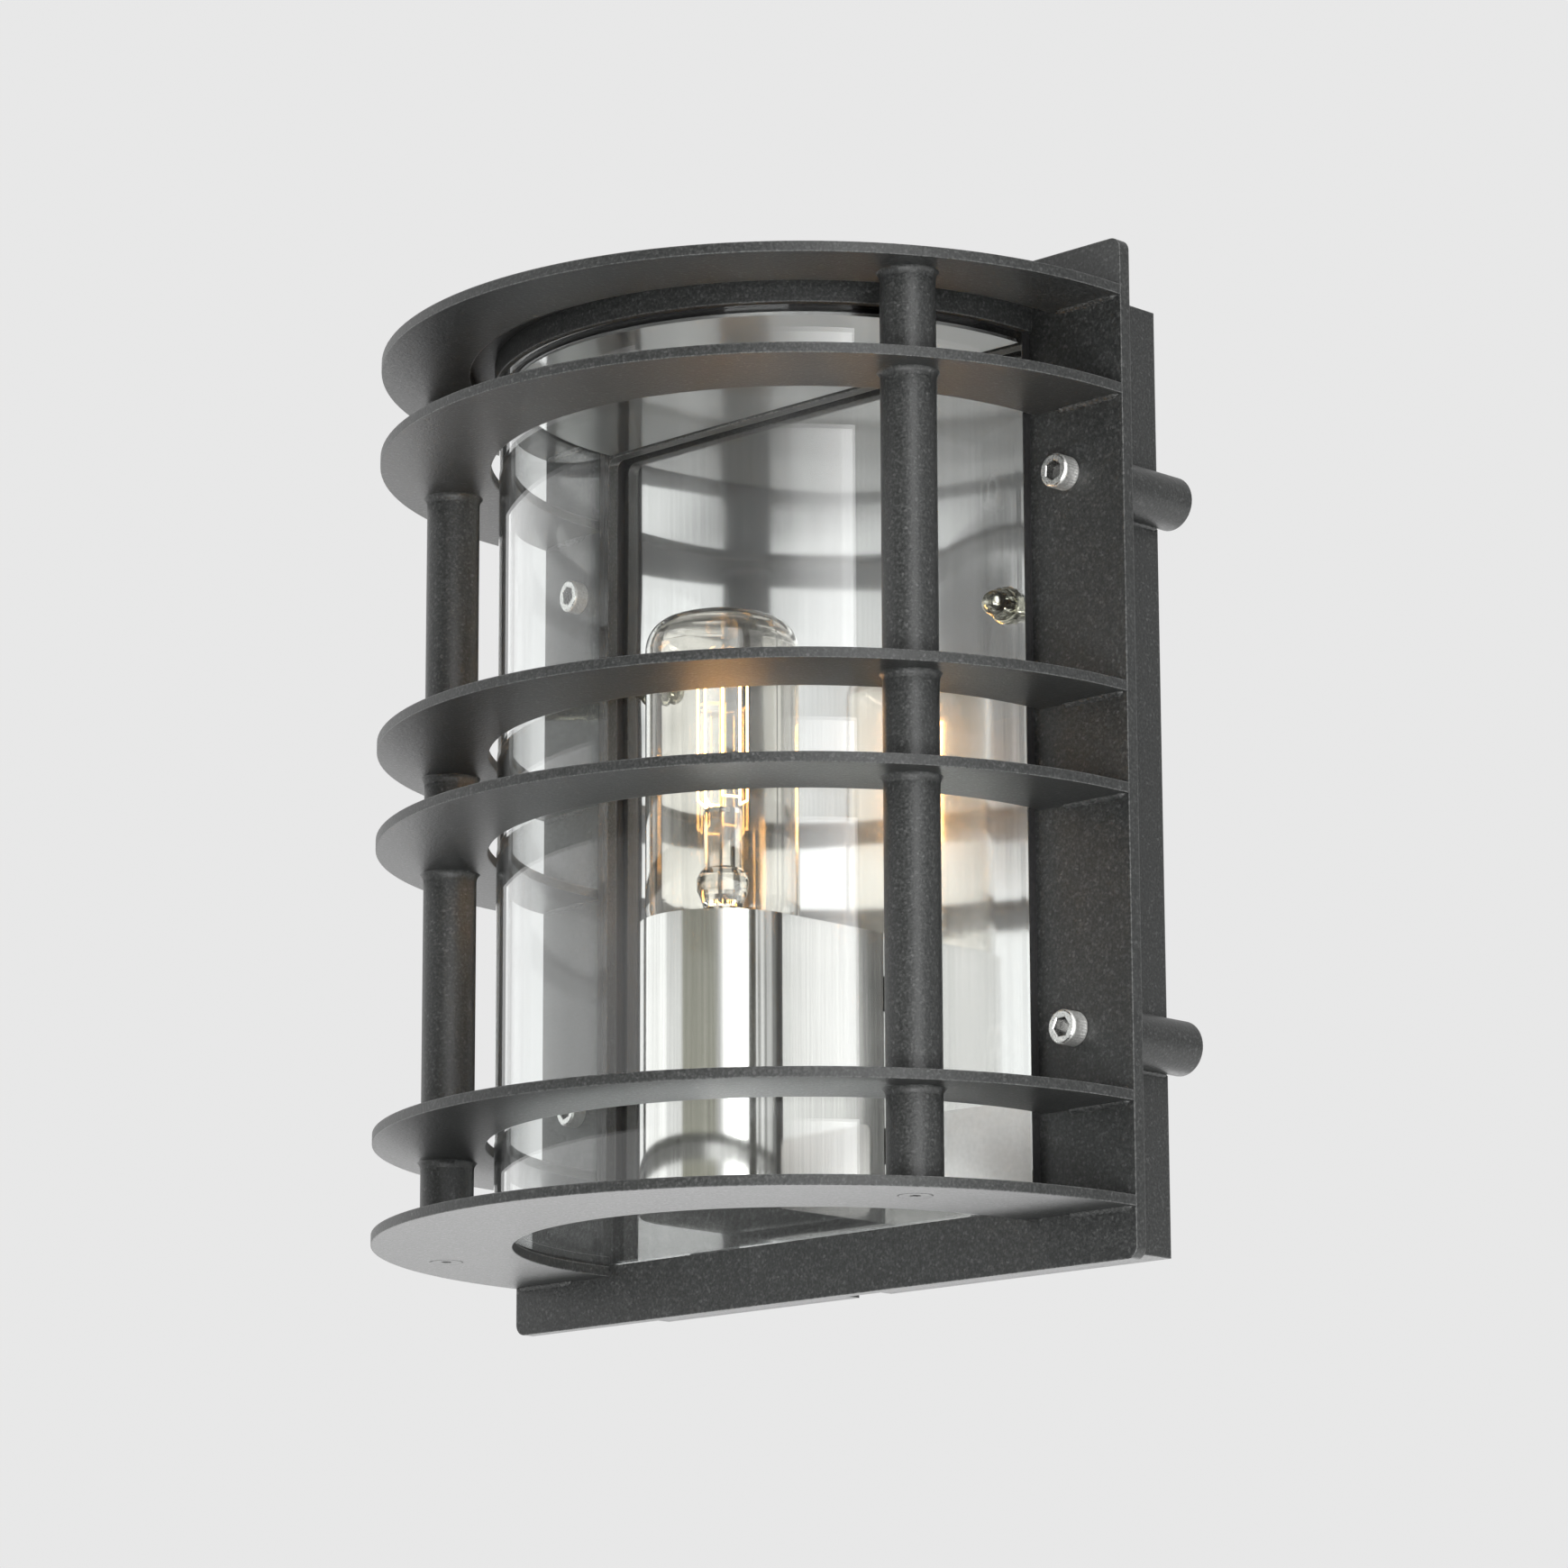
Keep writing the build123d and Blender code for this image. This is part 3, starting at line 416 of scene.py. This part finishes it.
# Knurled socket-head cap screws
def make_cap_screws():
    form = bmesh.new()
    flutes, per_flute = 36, 4
    steps = flutes * per_flute
    shank, length, tip, tip_inset = 0.003, 0.022, 0.0005, 0.0004
    socket_depth, socket_cone, socket_zone = 0.003, 0.0005, 0.7
    groove, groove_ease = 0.00016, 0.0001
    knurl_low, knurl_high = 0.0008, HEAD_HEIGHT - 0.0012
    chamfer, corner, rim, crown = 0.0003, 0.0002, 0.0006, 0.0007

    def shaped(radius, level, step):
        if level > 0 and radius < HEAD_RADIUS * socket_zone:
            return radius / cos(off_flat(step, steps))
        on_side = radius > HEAD_RADIUS - groove and knurl_low < level < knurl_high
        return radius - (groove if on_side and step % per_flute in (0, 1) else 0.0)

    profile = [
        (0, -length),
        (shank - tip_inset, -length),
        (shank, -length + tip),
        (shank, 0),
        (HEAD_RADIUS - corner, 0),
        (HEAD_RADIUS, chamfer),
        (HEAD_RADIUS, knurl_low - groove_ease),
        (HEAD_RADIUS, knurl_low + groove_ease),
        (HEAD_RADIUS, knurl_high - groove_ease),
        (HEAD_RADIUS, knurl_high + groove_ease),
        (HEAD_RADIUS, HEAD_HEIGHT - crown),
        (HEAD_RADIUS - corner, HEAD_HEIGHT - chamfer),
        (HEAD_RADIUS - rim, HEAD_HEIGHT),
        (SOCKET_RADIUS + chamfer, HEAD_HEIGHT),
        (SOCKET_RADIUS, HEAD_HEIGHT - chamfer),
        (SOCKET_RADIUS, HEAD_HEIGHT - socket_depth),
        (0, HEAD_HEIGHT - socket_depth - socket_cone),
    ]
    for index, (x, z) in enumerate([(-1, -1), (-1, 1), (1, -1), (1, 1)]):
        turn = radians(17 + 23 * index)
        place = facing_front(x * SCREW_X, PLATE_FRONT, z * SCREW_Z, turn)
        add_turned(form, profile, place, steps, shaped)
    new_piece("cap_screw_set", form, "bright_steel", "screws", "cap_screws")


# Domed nuts of the reflector, on their washers
def make_domed_nuts():
    form = bmesh.new()
    steps = 72
    flats, dome, dome_level = 0.004, 0.0038, 0.005
    washer, washer_rim, washer_edge, washer_top = 0.0055, 0.0051, 0.0007, 0.001
    nut_foot, flats_low, flats_high, nut_top = 0.00105, 0.0013, 0.0044, 0.0047
    foot_inset, dome_step = 0.0004, 0.0001
    corner = flats / cos(pi / 6)

    def shaped(radius, level, step):
        if nut_foot < level < nut_top and radius > dome:
            return min(radius, flats / cos(off_flat(step, steps)))
        return radius

    profile = [
        (0, 0),
        (washer, 0),
        (washer, washer_edge),
        (washer_rim, washer_top),
        (corner - foot_inset, nut_foot),
        (corner, flats_low),
        (corner, flats_high),
        (dome + dome_step, nut_top),
    ]
    for part in range(6):
        angle = radians(15 * part)
        profile.append((dome * cos(angle), dome_level + dome * sin(angle)))
    profile.append((0, dome_level + dome))
    for side in (-1, 1):
        place = facing_front(side * NUT_X, REFLECTOR_FRONT, NUT_Z, 0.3 * side)
        add_turned(form, profile, place, steps, shaped)
    new_piece("domed_nuts", form, "bright_steel", "base", "reflector_nuts")


# Welds
def add_bead(form, start, end, across, rise, ripples, seed):
    """Rippled fillet along a straight joint; across and rise span its two legs."""
    draw = random.Random(seed)
    start, end = Vector(start), Vector(end)
    per_ripple, arc_parts = 4, 4
    steps = ripples * per_ripple
    rows = []
    for step in range(steps + 1):
        at = start.lerp(end, step / steps)
        swell = 0.76 + 0.2 * abs(sin(pi * step / per_ripple)) + draw.uniform(-0.04, 0.04)
        size = swell * min(1.0, step / 3 + 0.25, (steps - step) / 3 + 0.25)
        row = [form.verts.new(at)]
        for part in range(arc_parts + 1):
            turn = pi / 2 * part / arc_parts
            bulge = 0.86 + 0.14 * abs(cos(2 * turn))
            leg = across * cos(turn) + rise * sin(turn)
            row.append(form.verts.new(at + leg * size * bulge))
        rows.append(row)
    made = [form.faces.new(rows[0]), form.faces.new(rows[-1])]
    for low, high in zip(rows, rows[1:]):
        for part in range(len(low)):
            after = (part + 1) % len(low)
            made.append(form.faces.new((low[part], low[after], high[after], high[part])))
    bmesh.ops.recalc_face_normals(form, faces=made)


def make_ring_welds():
    """Beads along the joints of the rings and the plate, over and under each ring."""
    form = bmesh.new()
    leg, ripples = 0.0014, 9
    inner_end, outer_end = 0.1005, 0.1235
    for number, name in enumerate(RING_NODES):
        low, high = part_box(name)
        for side in (-1, 1):
            for level, up in ((low[2], -1), (high[2], 1)):
                add_bead(
                    form,
                    (side * inner_end, PLATE_FRONT, level),
                    (side * outer_end, PLATE_FRONT, level),
                    Vector((0, -leg, 0)),
                    Vector((0, 0, up * leg)),
                    ripples,
                    number * 10 + side + up * 3,
                )
    new_piece("ring_welds", form, "powder_coat", "cage")


def add_fillet(form, place, up, width, height, seed):
    """Hollow fillet round a post, which runs on into post and ring, so that no edge shows."""
    steps, arc_parts, waves, depth = 48, 8, 3, 0.05
    sink, into_post, along_post, into_ring = 0.0002, 0.0006, 0.002, 0.0012
    draw = random.Random(seed)
    drift = [draw.uniform(0, 2 * pi) for _ in range(waves)]

    def shaped(radius, level, step):
        turn = 2 * pi * step / steps
        ripple = 1 + sum(depth * sin((4 + 3 * k) * turn + drift[k]) for k in range(waves))
        return POST_RADIUS + (radius - POST_RADIUS) * ripple

    profile = [(POST_RADIUS - into_post, up * (height + along_post))]
    for part in range(arc_parts + 1):
        turn = radians(90 * part / arc_parts)
        reach = POST_RADIUS + width * (1 - cos(turn))
        profile.append((reach, up * (height * (1 - sin(turn)) - sink)))
    profile.append((POST_RADIUS + width, -up * into_ring))
    profile.append((POST_RADIUS - into_post, -up * into_ring))
    add_turned(form, profile, place, steps, shaped, closed=True)


def make_post_welds():
    """Fillets where the posts meet the rings, full below a ring and slight above it."""
    form = bmesh.new()
    below, above = (0.0017, 0.0024), (0.0010, 0.0013)
    for number, name in enumerate(RING_NODES):
        low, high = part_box(name)
        joints = []
        if name != "bottom_ring":
            joints.append((low[2], -1, below))
        if name != "top_ring":
            joints.append((high[2], 1, above))
        for side in (-1, 1):
            for level, up, (width, height) in joints:
                place = Matrix.Translation((side * POST_X, POST_Y, level))
                add_fillet(form, place, up, width, height, number * 10 + side + up * 3)
    new_piece("post_fillets", form, "powder_coat", "cage", "post_welds")


def make_pillar_welds():
    """Beads along the pillars where they stand beside the box."""
    form = bmesh.new()
    leg, ripples, gap = 0.0011, 12, 0.0002
    box_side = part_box("back_box")[1][0]
    front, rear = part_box("back_box")[0][1], -0.0045
    drop = sqrt((PILLAR_RADIUS + gap) ** 2 - (SCREW_X - box_side) ** 2)
    for side in (-1, 1):
        for end in (-1, 1):
            for up in (-1, 1):
                level = end * SCREW_Z + up * drop
                add_bead(
                    form,
                    (side * box_side, front, level),
                    (side * box_side, rear, level),
                    Vector((side * leg, 0, 0)),
                    Vector((0, 0, up * leg)),
                    ripples,
                    100 + side + 3 * end + 9 * up,
                )
    new_piece("pillar_welds", form, "powder_coat", "base")


# Screw cap of the bulb, with its rolled thread
def make_screw_cap():
    form = bmesh.new()
    low, high = (point[2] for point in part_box("bulb_cap"))
    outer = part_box("bulb_cap")[1][0]
    pitch, depth, run_out = 0.00362, 0.0011, 0.002
    steps, rows = 64, 46
    collar = 0.006
    thread_low, thread_high = low + 0.0015, high - collar
    side_low, side_high = low + 0.0013, high - 0.0004
    foot, foot_edge, bevel, lip, wall = 0.005, 0.002, 0.0005, 0.0003, 0.0005
    inner = outer - wall - depth

    def shaped(radius, level, step):
        if radius < outer - 1e-6 or not thread_low < level < thread_high:
            return radius
        ease = min(1.0, (level - thread_low) / run_out, (thread_high - level) / run_out)
        wave = 0.5 - 0.5 * cos(2 * pi * (level / pitch - step / steps))
        return radius - depth * ease * wave

    profile = [(foot, low), (outer - foot_edge, low), (outer - bevel, low + bevel)]
    for row in range(rows + 1):
        profile.append((outer, side_low + (side_high - side_low) * row / rows))
    profile += [
        (outer - lip, high),
        (outer - wall, high),
        (inner, high - collar),
        (inner, low + 2 * wall),
        (foot, low + wall),
    ]
    place = Matrix.Translation((0, BULB_Y, 0))
    add_turned(form, profile, place, steps, shaped, closed=True)
    new_piece("screw_cap", form, "cap_metal", "bulb", "bulb_cap")


# Blank plate on the reflector
def make_blank_plate():
    form = bmesh.new()
    left, right, bottom, top = 0.031, 0.083, -0.1215, -0.0975
    corner, corner_parts, thick = 0.0025, 6, 0.0003
    outline = []
    for x, z, first in (
        (right - corner, top - corner, 0),
        (left + corner, top - corner, 90),
        (left + corner, bottom + corner, 180),
        (right - corner, bottom + corner, 270),
    ):
        for part in range(corner_parts + 1):
            angle = radians(first + 90 * part / corner_parts)
            outline.append((x + corner * cos(angle), z + corner * sin(angle)))
    back = [form.verts.new((x, REFLECTOR_FRONT, z)) for x, z in outline]
    front = [form.verts.new((x, REFLECTOR_FRONT - thick, z)) for x, z in outline]
    form.faces.new(front)
    form.faces.new(back[::-1])
    for index in range(len(outline)):
        after = (index + 1) % len(outline)
        form.faces.new((back[index], back[after], front[after], front[index]))
    bmesh.ops.recalc_face_normals(form, faces=form.faces[:])
    new_piece("blank_plate", form, "terminal_plastic", "base")


# Black lips of the edge seals, along the outside of the glass
def make_edge_lips():
    form = bmesh.new()
    low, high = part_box("glass")
    gap, thick, reach = 0.00005, 0.0004, 0.002
    size = (thick, reach, high[2] - low[2])
    for side in (-1, 1):
        middle = Vector((
            side * (high[0] + gap + thick / 2),
            high[1] - reach / 2,
            (low[2] + high[2]) / 2,
        ))
        place = Matrix.Translation(middle) @ Matrix.Diagonal((*size, 1))
        bmesh.ops.create_cube(form, size=1.0, matrix=place)
    new_piece("edge_lips", form, "seal_rubber", "cage")


make_cap_screws()
make_domed_nuts()
make_ring_welds()
make_post_welds()
make_pillar_welds()
make_screw_cap()
make_blank_plate()
make_edge_lips()


# Camera at the photograph's viewing angle
def set_camera():
    azimuth, elevation, roll = radians(44.041), radians(-12.571), radians(-0.209)
    distance, aside, above = 1.65683, 0.007183, -0.005792
    sensor = 36
    flat = cos(elevation)
    forward = Vector((-sin(azimuth) * flat, cos(azimuth) * flat, -sin(elevation)))
    right = Vector((cos(azimuth), sin(azimuth), 0))
    up = right.cross(forward)
    right, up = cos(roll) * right + sin(roll) * up, cos(roll) * up - sin(roll) * right
    eye = Vector((0, PLATE_FRONT, 0)) - forward * distance - right * aside - up * above
    data = bpy.data.cameras.new("camera")
    data.sensor_width = sensor
    data.lens = sensor * FOCAL_LENGTH / PHOTO_WIDTH
    data.clip_start = 0.05
    camera = bpy.data.objects.new("camera", data)
    camera.matrix_world = Matrix((
        (right.x, up.x, -forward.x, eye.x),
        (right.y, up.y, -forward.y, eye.y),
        (right.z, up.z, -forward.z, eye.z),
        (0, 0, 0, 1),
    ))
    scene.collection.objects.link(camera)
    scene.camera = camera


# Stage
def make_floor():
    """Pale floor that takes a soft shadow and fades into the background; it is clear from below.

    Shiny surfaces see it brighter behind the part.
    """
    level, half_width = -0.7, 4.0
    far_front, behind = -2.5, 0.5
    fade_start, fade_end = 0.4, 2.5
    form = bmesh.new()
    bmesh.ops.create_grid(form, x_segments=1, y_segments=1, size=half_width)
    mesh = bpy.data.meshes.new("floor")
    form.to_mesh(mesh)
    form.free()
    floor = bpy.data.objects.new("floor", mesh)
    floor.location = (0, 0, level)
    m = Shade("floor_paint", Roughness=0.9)
    m.join(m.ramp(m.noise(3, 2.0), (0.3, grey(0.79)), (0.7, grey(0.82))), "Base Color")
    direct, mirrored, twice = m.ray_kinds()
    along = m.ramp(
        m.spread(m.axes(m.where)[1], 0.0, 1.0, far_front, behind),
        (0.0, grey(0.9)),
        (0.74, grey(0.58)),
        (0.86, grey(1.5)),
        (1.0, grey(1.5)),
    )
    shown = m.mix(mirrored, grey(PALE), m.mix(twice, along, grey(0.4)))
    shine = m.node("ShaderNodeEmission", Color=shown, Strength=1.0).outputs[0]
    away = m.measure("LENGTH", m.where)
    flat = m.math("MULTIPLY", direct, m.spread(away, 0.75, 1.0, fade_start, fade_end))
    upper = m.mix_shaders(m.math("MAXIMUM", mirrored, flat), m.bsdf.outputs[0], shine)
    from_below = m.node("ShaderNodeNewGeometry").outputs["Backfacing"]
    clear = m.node("ShaderNodeBsdfTransparent").outputs[0]
    surface = m.tree.nodes["Material Output"].inputs["Surface"]
    m.put(m.mix_shaders(from_below, upper, clear), surface)
    mesh.materials.append(m.mat)
    scene.collection.objects.link(floor)
    return floor


def set_world():
    """Pale background; metal and glass see a studio with bright and dim walls, greyer above."""
    world = bpy.data.worlds.new("studio")
    scene.world = world
    world.use_nodes = True
    world.cycles.sampling_method = "NONE"
    world.node_tree.nodes.clear()
    t = Nodes(world.node_tree)
    x, y, z = t.axes(t.node("ShaderNodeTexCoord").outputs["Generated"])
    azimuth = t.math("ARCTAN2", x, t.math("MULTIPLY", y, -1.0))
    turn = t.spread(azimuth, 0.0, 1.0, -pi, pi)

    def around(*stops):
        """Tones by degrees from the front, rising towards +X."""
        tones = [tone if isinstance(tone, tuple) else grey(tone) for _, tone in stops]
        places = [(degrees + 180) / 360 for degrees, _ in stops]
        return t.ramp(turn, *zip(places, tones))

    def backdrop(colour):
        return t.node("ShaderNodeBackground", Color=colour).outputs[0]

    olive = (0.34, 0.335, 0.28)
    walls = around(
        (-150, PALE), (-128, 0.95), (-99, 1.0), (-95, 1.4), (-82, 1.4), (-78, 1.2), (-55, 1.25),
        (-46, 1.45), (-41, 1.45), (-38, 1.0), (-16, 1.0), (-13, olive), (30, olive), (38, 0.6),
        (41, 1.2), (47, 2.4), (60, 4.4), (67, 4.4), (73, 1.6), (88, 1.3), (89.5, 0.25),
        (92.5, 0.25), (94, 1.0), (98, 1.0), (99.5, 0.3), (102.5, 0.3), (104, 0.7), (128, 0.5),
        (150, 0.6), (170, PALE),
    )
    upper = around(
        (-150, PALE), (-128, 0.9), (-99, 1.2), (-95, 1.4), (-82, 1.4), (-78, 1.2), (-51, 1.05),
        (-46, 1.15), (-44.2, 0.9), (-43.2, 0.78), (-42.4, 0.88), (-41.8, 0.78), (-41.3, 0.5),
        (-40, 0.12), (20, 0.15), (33, 0.4), (40, 1.0), (47, 2.4), (60, 4.4), (67, 4.4),
        (73, 1.4), (88, 1.1), (104, 0.6), (128, 0.5), (150, 0.6), (170, PALE),
    )
    top = around(
        (-150, PALE), (-128, 0.8), (-99, 1.0), (-82, 1.2), (-60, 0.5), (-47, 0.22), (-40, 0.1),
        (20, 0.15), (33, 0.4), (40, 1.0), (47, 2.4), (60, 4.4), (67, 4.4), (73, 1.4), (88, 1.1),
        (104, 0.6), (128, 0.5), (150, 0.6), (170, PALE),
    )
    height = t.spread(z, 0.0, 1.0, 0.19, 0.215)
    higher = t.spread(z, 0.0, 1.0, 0.262, 0.28)
    direct, mirrored, twice = t.ray_kinds()
    room = t.mix(twice, t.mix(higher, t.mix(height, walls, upper), top), grey(1.1))
    fill, flat = (backdrop((*grey(tone), 1)) for tone in (0.6, PALE))
    plain = t.mix_shaders(direct, fill, flat)
    out = t.node("ShaderNodeOutputWorld")
    t.put(t.mix_shaders(mirrored, plain, backdrop(room)), out.inputs["Surface"])


def add_light(name, data, place):
    lamp = bpy.data.objects.new(name, data)
    lamp.location = place
    lamp.visible_camera = False
    scene.collection.objects.link(lamp)
    return lamp


def soft_light(name, place, target, width, height, power):
    data = bpy.data.lights.new(name, "AREA")
    data.shape = "RECTANGLE"
    data.size, data.size_y = width, height
    data.energy = power
    lamp = add_light(name, data, place)
    lamp.rotation_euler = (Vector(target) - Vector(place)).to_track_quat("-Z", "Y").to_euler()
    return lamp


def keep_off(obj, lamps):
    """Keep the light of low lamps off an object, where it would end in a hard line."""
    left_out = bpy.data.collections.new("left_out")
    left_out.objects.link(obj)
    left_out.collection_objects[0].light_linking.link_state = "EXCLUDE"
    for lamp in lamps:
        lamp.light_linking.receiver_collection = left_out


def set_bulb_glow():
    data = bpy.data.lights.new("bulb_glow", "POINT")
    data.energy = 0.004
    data.color = (1.0, 0.62, 0.28)
    data.shadow_soft_size = 0.007
    lamp = add_light("bulb_glow", data, (0, BULB_Y, GLOW_Z))
    lamp.visible_glossy = False
    lamp.visible_transmission = False


set_camera()
floor = make_floor()
set_world()
soft_light("key", (-1.1, -1.7, 1.3), (0, -0.1, 0), 1.2, 1.2, 6)
low_lamps = [
    soft_light("front", (1.0, -1.9, -0.35), (0, -0.1, 0), 0.9, 0.6, 3.5),
    soft_light("side", (1.9, -0.85, 0.1), (0, -0.1, 0), 0.5, 1.6, 2.2),
    soft_light("under", (0.75, -0.9, -0.66), (0, -0.1, -0.05), 0.9, 0.5, 14),
    soft_light("low_side", (1.3, -0.15, -0.62), (0.12, -0.03, -0.1), 0.5, 0.4, 3.0),
    soft_light("below", (-0.35, 0.3, -0.69), (0, -0.1, -0.13), 0.6, 0.6, 4.0),
]
keep_off(floor, low_lamps)
set_bulb_glow()
